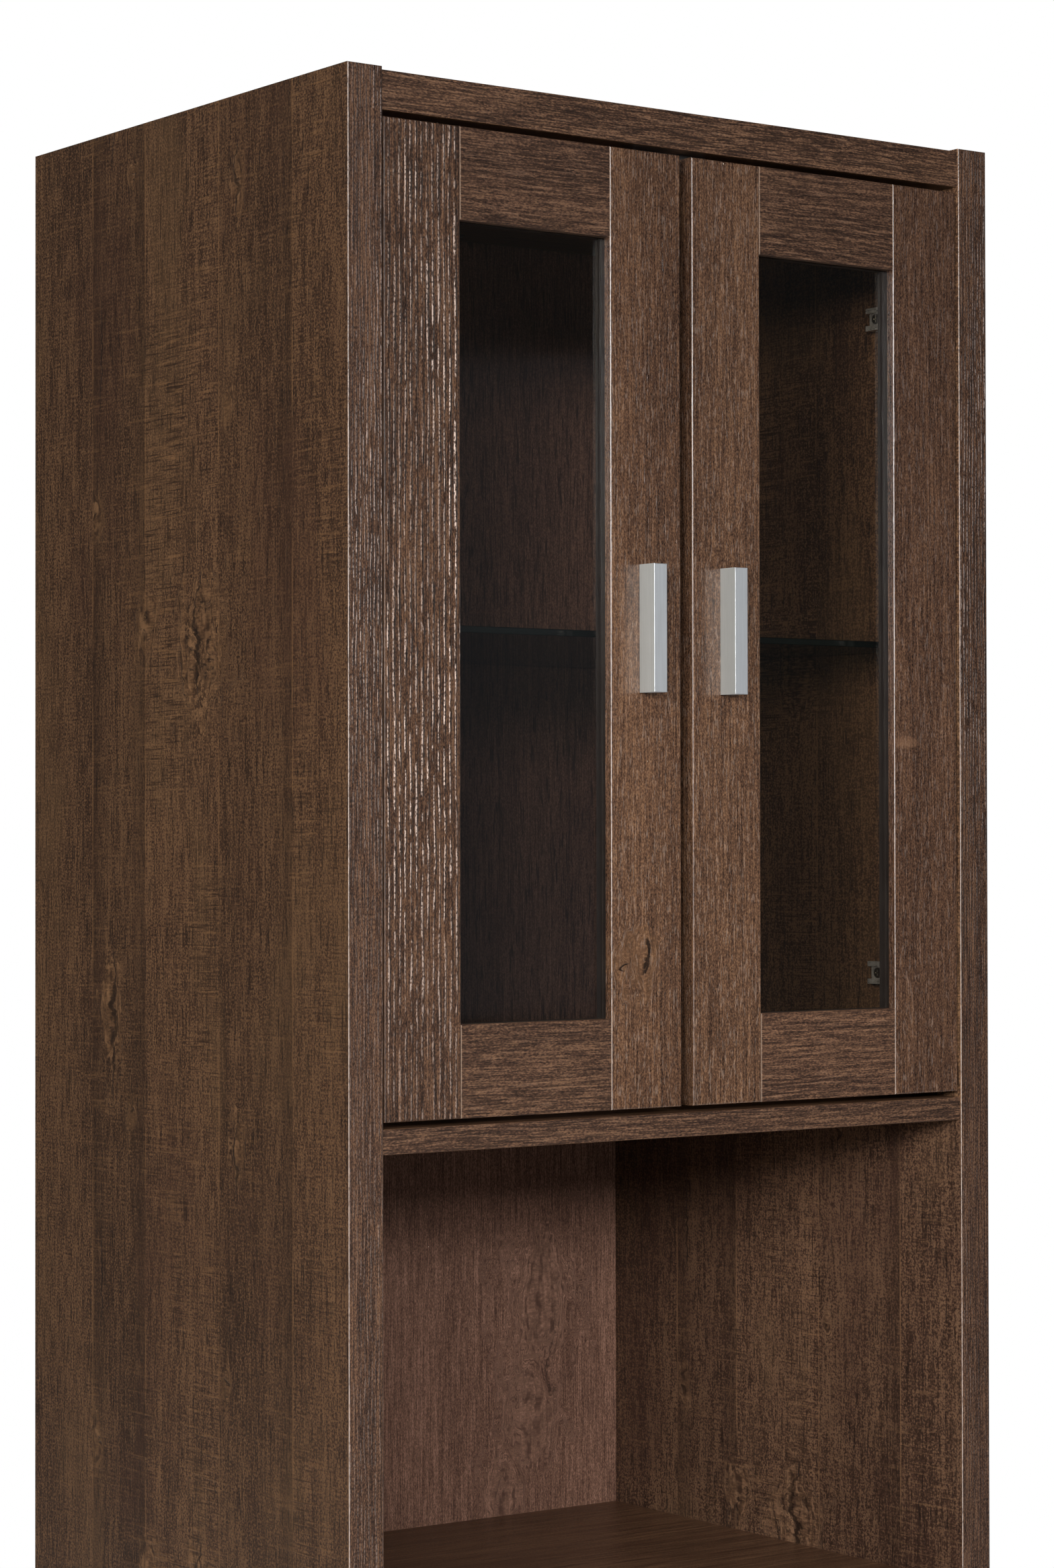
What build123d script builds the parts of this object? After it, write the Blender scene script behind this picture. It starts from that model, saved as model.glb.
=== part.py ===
from build123d import *
from math import cos, radians, sin
import os

# China cabinet: a glazed pair of doors at the top, an open niche under it, and a
# cupboard with a second pair of doors at the bottom, all between two thick sides.
# Millimetres. +X is to the right seen from the front, +Y to the back, +Z up.
# The origin is on the floor, under the middle of the bounding box.

os.makedirs("parts", exist_ok=True)

# ---- overall size
width = 600
depth = 450  # side panels, front edge to back edge
height = 1800

# ---- boards
side_t = 29
top_t = 28
board_t = 18
back_t = 3
lip = 1.5  # the sides' front edges stand this far in front of doors and boards
top_drop = 2  # the top panel lies this far below the tops of the sides
edge_r = 1.0  # rounding of banded front edges
glide_h = 4
display_floor_z = 1058  # upper faces of the boards
niche_floor_z = 680
bottom_z = 98
plinth_t = 16
plinth_setback = 40
plinth_lift = 2  # above the sides' lower ends

# ---- shelves
glass_shelf_t = 5
glass_shelf_z = 1413.5
lower_shelf_z = 389
shelf_setback = 34  # behind the swing of the doors' hinge edges
shelf_side_gap = 1.5
shelf_back_gap = 2
glass_corner_r = 3
glass_chamfer = 0.6
pin_pad_half_w = 5
pin_pad_l = 9
pin_pad_t = 1.6
pin_neck = 4
pin_leg_t = 1.5
pin_leg_h = 9

# ---- back panels, in a rebate along the sides' back edges
rebate_w = 12
rebate_d = 5
back_panel_top = 1790
back_play = 0.5
back_screw_rows = 5
back_screw_end = 30
back_screw_xs = (-130, 130)

# ---- doors
door_t = 18
side_gap = 2
end_gap = 4.5
middle_gap = 11
stile_w = 65
rail_h = 66.5
door_edge_r = 1.2
lip_t = 7  # thickness of the frame in front of the glass
glass_rebate = 8
glass_t = 4
glass_play = 1
bead_gap = 0.2  # between the ends of the short beads and the long ones

# ---- handles
handle_w = 12
handle_l = 94
handle_proud = 17.5
handle_screw_pitch = 64
handle_edge_r = 0.5
handle_thread_depth = 12
handle_screw_depth = 11
handle_screw_r = 1.7
handle_hole_r = 2.25
handle_head_r = 4
handle_head_h = 2.4

# ---- hinges: distances into the cabinet from the side (u) and behind the door's face (v)
pin_u = 22
pin_v = 8.5
pin_r = 1.5
pin_length = 34.2
pin_play = 0.05
knuckle_r = 3.2
arm_t = 2.5
arm_h = 12
arm_angle = 36
arm_reach = 27
arm_bend_u = 30
arm_back_v = 34.5
arm_wall_u = 9
arm_bend_r = 3
arm_end_v = 97
channel_h = 18
cup_u = 23.5
cup_r = 17.5
cup_depth = 14.3
cup_wall = 0.8
hinge_from_end = 90
flange_w = 13
flange_l = 62
flange_corner_r = 4
flange_rim = 2  # around the cup
flange_t = 1
cup_screw_dz = 26
cup_screw_depth = 10.5
cup_head_r = 3.2
sleeve_end = 15.5
sleeve_wall = 1
sleeve_play = 0.3
plate_t = 2
plate_hole_r = 1.8
plate_screw_v = 60
plate_screw_dz = 15
plate_screw_depth = 12.5
wing_half_w = 7
wing_half_l = 20
pad_vs = (46, 95)
pad_half_h = 6.5
arm_tail = 20
channel_start = 8  # behind the arm's cross strip
cheek_t = 1.5
cheek_u = 3
clamp_v = 86
clamp_head_r = 4
clamp_head_h = 2
clamp_recess = 5
fork_half = 5

# ---- fasteners
cam_r = 7.5
cam_depth = 12.5
cam_inset = 24
bolt_axis = 9  # height of cam bolts and dowels above a board's underside
bolt_r = 3
dowel_r = 4
dowel_into_side = 12
dowel_into_board = 18
pin_hole_r = 2.5
pin_hole_depth = 9
wall_screw_pitch = 160
wall_screw_r = 2.75
bolt_seat_r = 2.5
bolt_seat_depth = 10.5
bolt_shank_r = 2.1
bolt_tip = 3
bolt_collar = 7
cam_play = 0.1
cam_slot_half = 4
cam_slot_w = 1.6
cam_slot_depth = 2
nail_r = 1
nail_depth = 13
glide_r = 11
glide_edge_r = 1
screw_r = 1.5
clearance_r = 1.7
hole_extra = 0.5  # holes are this much deeper or wider than what goes into them
flat_head_r = 3.5
flat_head_h = 1.6
recess_size = 4  # cross recess in a screw's head
recess_depth = 0.8
recess_half_w = 0.5

# ---- wall brackets and door stops
bracket_t = 2
bracket_half_w = 10
stop_half_w = 34
stop_h = 14
stop_t = 20
stop_play = 0.4
stop_edge_r = 1.5
stop_head_depth = 3
stop_head_r = 3.2
stop_head_h = 1.8
stop_screw_depth = 10
bracket_leg = 30
bracket_drop = 36
bracket_screw_depth = 12

# ---- derived planes and levels
front_y = -(depth - handle_proud + lip) / 2
back_y = front_y + depth
face_y = front_y + lip
door_back_y = face_y + door_t
panel_front_y = back_y - rebate_d
panel_back_y = panel_front_y + back_t
inner_x = width / 2 - side_t
top_z = height - top_drop
top_under_z = top_z - top_t
door_w = inner_x - side_gap - middle_gap / 2
opening_w = door_w - 2 * stile_w
board_middle_y = (face_y + panel_front_y) / 2
upper_door_z = (display_floor_z + end_gap, top_under_z - end_gap)
lower_door_z = (bottom_z + end_gap, niche_floor_z - board_t - end_gap)
board_unders = {
    "top_panel": top_under_z,
    "display_floor": display_floor_z - board_t,
    "niche_floor": niche_floor_z - board_t,
    "bottom_panel": bottom_z - board_t,
}
cam_ys = (board_middle_y - 150, board_middle_y + 150)
dowel_ys = (board_middle_y - 110, board_middle_y + 110)
shelf_pin_ys = (front_y + 70, front_y + 390)
shelf_pin_levels = (glass_shelf_z - glass_shelf_t, lower_shelf_z - board_t)
spare_pin_levels = (shelf_pin_levels[1] - 32, shelf_pin_levels[1] + 32)
glide_ys = (front_y + 45, back_y - 45)
bracket_xs = (-wall_screw_pitch / 2, wall_screw_pitch / 2)
bracket_hole_z = top_under_z - 22
plinth_ys = (front_y + plinth_setback, front_y + plinth_setback + plinth_t)
plinth_dowel_z = 44
sides = {"left": -1, "right": 1}
bracket_screw_y = panel_front_y - 20
stop_ys = (door_back_y + stop_play, door_back_y + stop_play + stop_t)
stop_screw_points = [(x, sum(stop_ys) / 2) for x in (-20, 20)]
stop_ceilings = {"top_panel": top_under_z, "niche_floor": niche_floor_z - board_t}
hinge_levels = {
    "upper": (upper_door_z[0] + hinge_from_end, upper_door_z[1] - hinge_from_end),
    "lower": (lower_door_z[0] + hinge_from_end, lower_door_z[1] - hinge_from_end),
}


def save(part, name):
    """Label a finished piece and write it to its own file."""
    part.label = name
    export_step(part, f"parts/{name}.step")


def block(xs, ys, zs, mode=Mode.ADD):
    """A box between two values on each axis."""
    centre = tuple((a + b) / 2 for a, b in (xs, ys, zs))
    with Locations(centre):
        Box(*(abs(b - a) for a, b in (xs, ys, zs)), mode=mode)


def rod(axis, start, end, across, radius, mode=Mode.ADD):
    """A cylinder along X, Y or Z. across holds its other two coordinates, in X, Y, Z order."""
    middle = (start + end) / 2
    turn = {"X": (0, 90, 0), "Y": (90, 0, 0), "Z": (0, 0, 0)}[axis]
    centre = list(across)
    centre.insert("XYZ".index(axis), middle)
    with Locations(Location(tuple(centre), turn)):
        Cylinder(radius, abs(end - start), mode=mode)


def cross_x(x, y, z, size, deep):
    """The cross recess of a screw whose head faces along X. deep is signed."""
    half = size / 2
    block((x, x + deep), (y - half, y + half), (z - recess_half_w, z + recess_half_w), Mode.SUBTRACT)
    block((x, x + deep), (y - recess_half_w, y + recess_half_w), (z - half, z + half), Mode.SUBTRACT)


def cross_y(x, y, z, size, deep):
    """The cross recess of a screw whose head faces along Y. deep is signed."""
    half = size / 2
    block((x - half, x + half), (y, y + deep), (z - recess_half_w, z + recess_half_w), Mode.SUBTRACT)
    block((x - recess_half_w, x + recess_half_w), (y, y + deep), (z - half, z + half), Mode.SUBTRACT)


def u_to_x(sign, u):
    """X of a point at distance u into the cabinet from the side on sign's hand."""
    return sign * (inner_x - u)


def round_front(builder, radius):
    """Round the edges around a board's front face."""
    fillet(builder.faces().sort_by(Axis.Y)[0].edges(), radius)


# ---- side panels
for side, sign in sides.items():
    wall_x = sign * inner_x
    with BuildPart() as side_panel:
        block((wall_x, sign * width / 2), (front_y, back_y), (glide_h, height))
        round_front(side_panel, edge_r)
        # rebate for the back panels
        block(
            (wall_x, wall_x + sign * rebate_w),
            (panel_front_y, back_y),
            (glide_h, back_panel_top),
            Mode.SUBTRACT,
        )
        for under in board_unders.values():
            for y in cam_ys:
                seat_x = wall_x + sign * (bolt_seat_depth + hole_extra)
                rod("X", wall_x, seat_x, (y, under + bolt_axis), bolt_seat_r, Mode.SUBTRACT)
            for y in dowel_ys:
                level = under + bolt_axis
                rod("X", wall_x, wall_x + sign * dowel_into_side, (y, level), dowel_r, Mode.SUBTRACT)
        plinth_y = sum(plinth_ys) / 2
        deep_x = wall_x + sign * dowel_into_side
        rod("X", wall_x, deep_x, (plinth_y, plinth_dowel_z), dowel_r, Mode.SUBTRACT)
        for level in shelf_pin_levels + spare_pin_levels:
            for y in shelf_pin_ys:
                pin_z = level - pin_hole_r
                pin_end_x = wall_x + sign * pin_hole_depth
                rod("X", wall_x, pin_end_x, (y, pin_z), pin_hole_r, Mode.SUBTRACT)
        for levels in hinge_levels.values():
            for z in levels:
                for dz in (-plate_screw_dz, plate_screw_dz):
                    hole = (face_y + plate_screw_v, z + dz)
                    hole_x = wall_x + sign * (plate_screw_depth + hole_extra)
                    rod("X", wall_x, hole_x, hole, screw_r, Mode.SUBTRACT)
        for y in glide_ys:
            centre_x = sign * (width - side_t) / 2
            nail_zs = (glide_h, glide_h + nail_depth + hole_extra)
            rod("Z", *nail_zs, (centre_x, y), nail_r, Mode.SUBTRACT)
    save(side_panel.part, f"side_panel_{side}")

# ---- fixed boards between the sides, drilled from below for the cam locks
board_thickness = {name: board_t for name in board_unders}
board_thickness["top_panel"] = top_t
for name, under in board_unders.items():
    with BuildPart() as board:
        board_ys = (face_y, panel_front_y)
        block((-inner_x, inner_x), board_ys, (under, under + board_thickness[name]))
        fillet(board.faces().sort_by(Axis.Y)[0].edges().filter_by(Axis.X), edge_r)
        for sign in sides.values():
            end_x = sign * inner_x
            cam_x = end_x - sign * cam_inset
            for y in cam_ys:
                rod("Z", under, under + cam_depth, (cam_x, y), cam_r, Mode.SUBTRACT)
                rod("X", end_x, cam_x, (y, under + bolt_axis), bolt_r + hole_extra, Mode.SUBTRACT)
            for y in dowel_ys:
                hole_end = end_x - sign * dowel_into_board
                rod("X", end_x, hole_end, (y, under + bolt_axis), dowel_r, Mode.SUBTRACT)
        if name in stop_ceilings:
            for at in stop_screw_points:
                pilot_top = under + stop_screw_depth + hole_extra
                rod("Z", under, pilot_top, at, screw_r, Mode.SUBTRACT)
        if name == "top_panel":
            for x in bracket_xs:
                pilot_top = under + bracket_screw_depth + hole_extra
                rod("Z", under, pilot_top, (x, bracket_screw_y), screw_r, Mode.SUBTRACT)
    save(board.part, name)

# ---- plinth, set back under the bottom panel
with BuildPart() as plinth_board:
    block((-inner_x, inner_x), plinth_ys, (glide_h + plinth_lift, bottom_z - board_t))
    for sign in sides.values():
        hole_end = sign * (inner_x - dowel_into_board)
        hole = (sum(plinth_ys) / 2, plinth_dowel_z)
        rod("X", sign * inner_x, hole_end, hole, dowel_r, Mode.SUBTRACT)
save(plinth_board.part, "plinth_board")

# ---- back panels, meeting behind the middle of the display floor
back_split_z = display_floor_z - board_t / 2
back_bottom_z = bottom_z - board_t / 2
back_panel_zs = {
    "back_panel_upper": (back_split_z + back_play, back_panel_top),
    "back_panel_lower": (back_bottom_z, back_split_z - back_play),
}
panel_edge_x = inner_x + rebate_w
screw_x = inner_x + rebate_w / 2
screw_points = {}
for name, (low, high) in back_panel_zs.items():
    first = low + back_screw_end
    step = (high - back_screw_end - first) / (back_screw_rows - 1)
    points = [(s * screw_x, first + i * step) for s in (-1, 1) for i in range(back_screw_rows)]
    board_level = top_under_z + bolt_axis if name == "back_panel_upper" else niche_floor_z - bolt_axis
    points += [(x, board_level) for x in back_screw_xs]
    screw_points[name] = points
for name, (low, high) in back_panel_zs.items():
    with BuildPart() as back_panel:
        edge_x = panel_edge_x - back_play
        block((-edge_x, edge_x), (panel_front_y, panel_back_y), (low, high))
        for x, z in screw_points[name]:
            rod("Y", panel_front_y, panel_back_y, (x, z), screw_r, Mode.SUBTRACT)
        if name == "back_panel_upper":
            for x in bracket_xs:
                hole = (x, bracket_hole_z)
                rod("Y", panel_front_y, panel_back_y, hole, wall_screw_r, Mode.SUBTRACT)
    save(back_panel.part, name)

with BuildPart() as back_panel_screws:
    for points in screw_points.values():
        for x, z in points:
            head_y = panel_back_y + flat_head_h
            rod("Y", panel_front_y, panel_back_y, (x, z), screw_r)
            rod("Y", panel_back_y, head_y, (x, z), flat_head_r)
            cross_y(x, head_y, z, recess_size, -recess_depth)
save(back_panel_screws.part, "back_panel_screws")

# ---- shelves
shelf_ys = (front_y + shelf_setback, panel_front_y - shelf_back_gap)
shelf_half = inner_x - shelf_side_gap
with BuildPart() as glass_shelf:
    glass_zs = (glass_shelf_z - glass_shelf_t, glass_shelf_z)
    block((-shelf_half, shelf_half), shelf_ys, glass_zs)
    fillet(glass_shelf.edges().filter_by(Axis.Z), glass_corner_r)
    chamfer(glass_shelf.faces().sort_by(Axis.Z)[-1].edges(), glass_chamfer)
    chamfer(glass_shelf.faces().sort_by(Axis.Z)[0].edges(), glass_chamfer)
save(glass_shelf.part, "glass_shelf")

with BuildPart() as lower_shelf:
    block((-shelf_half, shelf_half), shelf_ys, (lower_shelf_z - board_t, lower_shelf_z))
    fillet(lower_shelf.faces().sort_by(Axis.Y)[0].edges().filter_by(Axis.X), edge_r)
save(lower_shelf.part, "lower_shelf")

# ---- shelf supports: a peg in the side with a flat pad under the shelf
with BuildPart() as shelf_pins:
    for sign in sides.values():
        wall_x = sign * inner_x
        for level in shelf_pin_levels:
            for y in shelf_pin_ys:
                peg = (y, level - pin_hole_r)
                pad_ys = (y - pin_pad_half_w, y + pin_pad_half_w)
                rod("X", wall_x + sign * pin_hole_depth, wall_x - sign * pin_neck, peg, pin_hole_r)
                block((wall_x, wall_x - sign * pin_pad_l), pad_ys, (level - pin_pad_t, level))
                block((wall_x, wall_x - sign * pin_leg_t), pad_ys, (level - pin_leg_h, level))
save(shelf_pins.part, "shelf_pins")

# ---- cam locks, cam bolts and dowels
with BuildPart() as cam_locks:
    for under in board_unders.values():
        for sign in sides.values():
            cam_x = sign * (inner_x - cam_inset)
            for y in cam_ys:
                rod("Z", under, under + cam_depth - hole_extra, (cam_x, y), cam_r - cam_play)
                mouth_x = cam_x + sign * cam_r
                rod("X", cam_x, mouth_x, (y, under + bolt_axis), bolt_r + cam_play, Mode.SUBTRACT)
                recess = (under, under + cam_slot_depth)
                for half_x, half_y in (
                    (cam_slot_half, cam_slot_w / 2),
                    (cam_slot_w / 2, cam_slot_half),
                ):
                    slot_xs = (cam_x - half_x, cam_x + half_x)
                    block(slot_xs, (y - half_y, y + half_y), recess, Mode.SUBTRACT)
save(cam_locks.part, "cam_locks")

with BuildPart() as cam_bolts:
    for under in board_unders.values():
        for sign in sides.values():
            wall_x = sign * inner_x
            tip_x = wall_x - sign * (cam_inset - 1)
            for y in cam_ys:
                level = under + bolt_axis
                rod("X", wall_x, wall_x + sign * bolt_seat_depth, (y, level), bolt_seat_r)
                rod("X", wall_x, tip_x, (y, level), bolt_shank_r)
                rod("X", tip_x, tip_x + sign * bolt_tip, (y, level), bolt_r)
                rod("X", wall_x, wall_x - sign * bolt_collar, (y, level), bolt_r)
save(cam_bolts.part, "cam_bolts")

with BuildPart() as dowels:
    for sign in sides.values():
        wall_x = sign * inner_x
        ends = (
            wall_x + sign * (dowel_into_side - hole_extra),
            wall_x - sign * (dowel_into_board - hole_extra),
        )
        for under in board_unders.values():
            for y in dowel_ys:
                rod("X", *ends, (y, under + bolt_axis), dowel_r)
        rod("X", *ends, (sum(plinth_ys) / 2, plinth_dowel_z), dowel_r)
save(dowels.part, "dowels")

# ---- nail-on floor glides
with BuildPart() as floor_glides:
    for sign in sides.values():
        for y in glide_ys:
            at = (sign * (width - side_t) / 2, y)
            rod("Z", 0, glide_h, at, glide_r)
            rod("Z", glide_h, glide_h + nail_depth, at, nail_r)
    fillet(floor_glides.faces().group_by(Axis.Z)[0].edges(), glide_edge_r)
save(floor_glides.part, "floor_glides")

# ---- wall brackets under the top panel, with the wall screw's hole through the back panel
with BuildPart() as wall_brackets:
    for x in bracket_xs:
        xs = (x - bracket_half_w, x + bracket_half_w)
        block(xs, (panel_front_y - bracket_leg, panel_front_y), (top_under_z - bracket_t, top_under_z))
        wall_leg_zs = (top_under_z - bracket_drop, top_under_z)
        block(xs, (panel_front_y - bracket_t, panel_front_y), wall_leg_zs)
        hole_ys = (panel_front_y - bracket_t, panel_front_y)
        rod("Y", *hole_ys, (x, bracket_hole_z), wall_screw_r, Mode.SUBTRACT)
        screw_zs = (top_under_z - bracket_t, top_under_z)
        rod("Z", *screw_zs, (x, bracket_screw_y), clearance_r, Mode.SUBTRACT)
save(wall_brackets.part, "wall_brackets")

# ---- door stops: a block behind the meeting edges of each pair of doors
with BuildPart() as door_stops:
    for ceiling in stop_ceilings.values():
        block((-stop_half_w, stop_half_w), stop_ys, (ceiling - stop_h, ceiling))
    fillet(door_stops.edges().filter_by(Axis.Z), stop_edge_r)
    for ceiling in stop_ceilings.values():
        for at in stop_screw_points:
            sunk = (ceiling - stop_h, ceiling - stop_h + stop_head_depth)
            rod("Z", ceiling - stop_h, ceiling, at, clearance_r, Mode.SUBTRACT)
            rod("Z", *sunk, at, flat_head_r, Mode.SUBTRACT)
save(door_stops.part, "door_stops")

# ---- hinge plates on the sides: a crossed base with a raised pad that the arm sits on
pad_h = arm_wall_u - arm_t / 2
with BuildPart() as hinge_plates:
    for sign in sides.values():
        wall_x = u_to_x(sign, 0)
        base_x = u_to_x(sign, plate_t)
        for levels in hinge_levels.values():
            for z in levels:
                pad_ys = (face_y + pad_vs[0], face_y + pad_vs[1])
                block((wall_x, base_x), pad_ys, (z - channel_h / 2, z + channel_h / 2))
                wing_y = face_y + plate_screw_v
                wing_ys = (wing_y - wing_half_w, wing_y + wing_half_w)
                block((wall_x, base_x), wing_ys, (z - wing_half_l, z + wing_half_l))
                pad_zs = (z - pad_half_h, z + pad_half_h)
                block((base_x, u_to_x(sign, pad_h)), pad_ys, pad_zs)
                for dz in (-plate_screw_dz, plate_screw_dz):
                    rod("X", wall_x, base_x, (wing_y, z + dz), plate_hole_r, Mode.SUBTRACT)
save(hinge_plates.part, "hinge_plates")

# ---- hinge arms: a knuckle on the pin, a strip bent clear of the swinging door edge, and
# a channel over the plate with a fork around its clamp screw
with BuildPart() as hinge_arms:
    for sign in sides.values():
        pin_at = (u_to_x(sign, pin_u), face_y + pin_v)
        reach_u = pin_u + arm_reach * cos(radians(arm_angle))
        reach_v = pin_v + arm_reach * sin(radians(arm_angle))
        route = [
            pin_at,
            (u_to_x(sign, reach_u), face_y + reach_v),
            (u_to_x(sign, arm_bend_u), face_y + arm_back_v),
            (u_to_x(sign, arm_wall_u), face_y + arm_back_v),
            (u_to_x(sign, arm_wall_u), face_y + arm_back_v + arm_tail),
        ]
        for levels in hinge_levels.values():
            for z in levels:
                with BuildSketch(Plane.XY.offset(z - arm_h / 2)):
                    with BuildLine():
                        FilletPolyline(*route, radius=arm_bend_r)
                    trace(line_width=arm_t)
                    with Locations(pin_at):
                        Circle(knuckle_r)
                        Circle(pin_r + pin_play, mode=Mode.SUBTRACT)
                extrude(amount=arm_h)
                channel_ys = (face_y + arm_back_v + channel_start, face_y + arm_end_v)
                web_xs = (u_to_x(sign, pad_h), u_to_x(sign, pad_h + arm_t))
                block(web_xs, channel_ys, (z - channel_h / 2, z + channel_h / 2))
                for dz in (-channel_h / 2, channel_h / 2 - cheek_t):
                    cheek_xs = (u_to_x(sign, cheek_u), u_to_x(sign, pad_h))
                    block(cheek_xs, channel_ys, (z + dz, z + dz + cheek_t))
                fork_ys = (face_y + clamp_v, face_y + arm_end_v)
                block(web_xs, fork_ys, (z - fork_half, z + fork_half), Mode.SUBTRACT)
                rod("X", *web_xs, (face_y + clamp_v, z), fork_half, Mode.SUBTRACT)
save(hinge_arms.part, "hinge_arms")

# ---- screws of the hinge plates, the arms' clamps, the wall brackets and the door stops
with BuildPart() as fitting_screws:
    for sign in sides.values():
        wall_x = u_to_x(sign, 0)
        for levels in hinge_levels.values():
            for z in levels:
                for dz in (-plate_screw_dz, plate_screw_dz):
                    at = (face_y + plate_screw_v, z + dz)
                    head_x = u_to_x(sign, plate_t + flat_head_h)
                    rod("X", wall_x + sign * plate_screw_depth, u_to_x(sign, plate_t), at, screw_r)
                    rod("X", u_to_x(sign, plate_t), head_x, at, flat_head_r)
                    cross_x(head_x, *at, recess_size, sign * recess_depth)
                clamp_at = (face_y + clamp_v, z)
                clamp_x = u_to_x(sign, pad_h + clamp_head_h)
                rod("X", u_to_x(sign, pad_h), clamp_x, clamp_at, clamp_head_r)
                cross_x(clamp_x, *clamp_at, clamp_recess, sign * recess_depth)
    for x in bracket_xs:
        seat_z = top_under_z - bracket_t
        rod("Z", seat_z, top_under_z + bracket_screw_depth, (x, bracket_screw_y), screw_r)
        rod("Z", seat_z - flat_head_h, seat_z, (x, bracket_screw_y), flat_head_r)
    for ceiling in stop_ceilings.values():
        for at in stop_screw_points:
            seat_z = ceiling - stop_h + stop_head_depth
            rod("Z", seat_z, ceiling + stop_screw_depth, at, screw_r)
            rod("Z", seat_z - stop_head_h, seat_z, at, stop_head_r)
save(fitting_screws.part, "fitting_screws")

# ---- doors
doors = {"upper": upper_door_z, "lower": lower_door_z}
for level, door_zs in doors.items():
    door_middle_z = sum(door_zs) / 2
    handle_screw_zs = [door_middle_z + d * handle_screw_pitch / 2 for d in (-1, 1)]
    opening_zs = (door_zs[0] + rail_h, door_zs[1] - rail_h)
    for side, sign in sides.items():
        prefix = f"{level}_{side}"
        hinge_edge_x = u_to_x(sign, side_gap)
        lock_edge_x = u_to_x(sign, side_gap + door_w)
        opening_xs = (u_to_x(sign, side_gap + stile_w), u_to_x(sign, side_gap + stile_w + opening_w))
        rebate_xs = (opening_xs[0] + sign * glass_rebate, opening_xs[1] - sign * glass_rebate)
        handle_x = lock_edge_x + sign * stile_w / 2
        cup_x = u_to_x(sign, cup_u)
        pin_at = (u_to_x(sign, pin_u), face_y + pin_v)

        # stiles: full height, rebated behind for the glass or panel
        stile_xs = {
            "hinge_stile": (hinge_edge_x, opening_xs[0], rebate_xs[0]),
            "lock_stile": (lock_edge_x, opening_xs[1], rebate_xs[1]),
        }
        for name, (outer, inner, rebate) in stile_xs.items():
            with BuildPart() as stile:
                with BuildSketch(Plane.XY.offset(door_zs[0])):
                    with BuildLine():
                        Polyline(
                            (outer, face_y),
                            (inner, face_y),
                            (inner, face_y + lip_t),
                            (rebate, face_y + lip_t),
                            (rebate, door_back_y),
                            (outer, door_back_y),
                            close=True,
                        )
                    make_face()
                extrude(amount=door_zs[1] - door_zs[0])
                round_front(stile, door_edge_r)
                if name == "hinge_stile":
                    for z in hinge_levels[level]:
                        rod("Y", door_back_y - cup_depth, door_back_y, (cup_x, z), cup_r, Mode.SUBTRACT)
                        hole_ys = (door_back_y - cup_screw_depth - hole_extra, door_back_y)
                        for dz in (-cup_screw_dz, cup_screw_dz):
                            rod("Y", *hole_ys, (cup_x, z + dz), screw_r, Mode.SUBTRACT)
                else:
                    for z in handle_screw_zs:
                        rod("Y", face_y, door_back_y, (handle_x, z), handle_hole_r, Mode.SUBTRACT)
            save(stile.part, f"{prefix}_{name}")

        # rails: shouldered over the stiles' rebates
        rail_zs = {
            "top_rail": (opening_zs[1], door_zs[1], opening_zs[1] + glass_rebate),
            "bottom_rail": (opening_zs[0], door_zs[0], opening_zs[0] - glass_rebate),
        }
        for name, (inner, outer, rebate) in rail_zs.items():
            with BuildPart() as rail:
                block(opening_xs, (face_y, face_y + lip_t), (inner, outer))
                block(rebate_xs, (face_y + lip_t, door_back_y), (rebate, outer))
                front_face = rail.faces().sort_by(Axis.Y)[0]
                fillet(front_face.edges().filter_by(Axis.X), edge_r)
            save(rail.part, f"{prefix}_{name}")

        # glass with its beads, or a solid panel that fills the rebate
        play = glass_play if level == "upper" else 0
        pane_xs = (rebate_xs[0] - sign * play, rebate_xs[1] + sign * play)
        pane_zs = (opening_zs[0] - glass_rebate + play, opening_zs[1] + glass_rebate - play)
        if level == "upper":
            glass_back_y = face_y + lip_t + glass_t
            with BuildPart() as glass:
                block(pane_xs, (face_y + lip_t, glass_back_y), pane_zs)
            save(glass.part, f"{prefix}_glass")
            bead_ys = (glass_back_y, door_back_y)
            bead_zs = (opening_zs[0] - glass_rebate, opening_zs[1] + glass_rebate)
            with BuildPart() as glazing_beads:
                for rebate_x, opening_x in zip(rebate_xs, opening_xs):
                    block((rebate_x, opening_x), bead_ys, bead_zs)
                short_xs = (opening_xs[0] - sign * bead_gap, opening_xs[1] + sign * bead_gap)
                for rebate_z, opening_z in zip(bead_zs, opening_zs):
                    block(short_xs, bead_ys, (rebate_z, opening_z))
            save(glazing_beads.part, f"{prefix}_glazing_beads")
        else:
            with BuildPart() as panel:
                block(pane_xs, (face_y + lip_t, door_back_y), pane_zs)
            save(panel.part, f"{prefix}_panel")

        # handle: a solid bar flat on the stile
        with BuildPart() as handle:
            handle_xs = (handle_x - handle_w / 2, handle_x + handle_w / 2)
            handle_zs = (door_middle_z - handle_l / 2, door_middle_z + handle_l / 2)
            block(handle_xs, (face_y - handle_proud, face_y), handle_zs)
            round_front(handle, handle_edge_r)
            for z in handle_screw_zs:
                thread_ys = (face_y - handle_thread_depth, face_y)
                rod("Y", *thread_ys, (handle_x, z), handle_screw_r, Mode.SUBTRACT)
        save(handle.part, f"{prefix}_handle")

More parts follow.
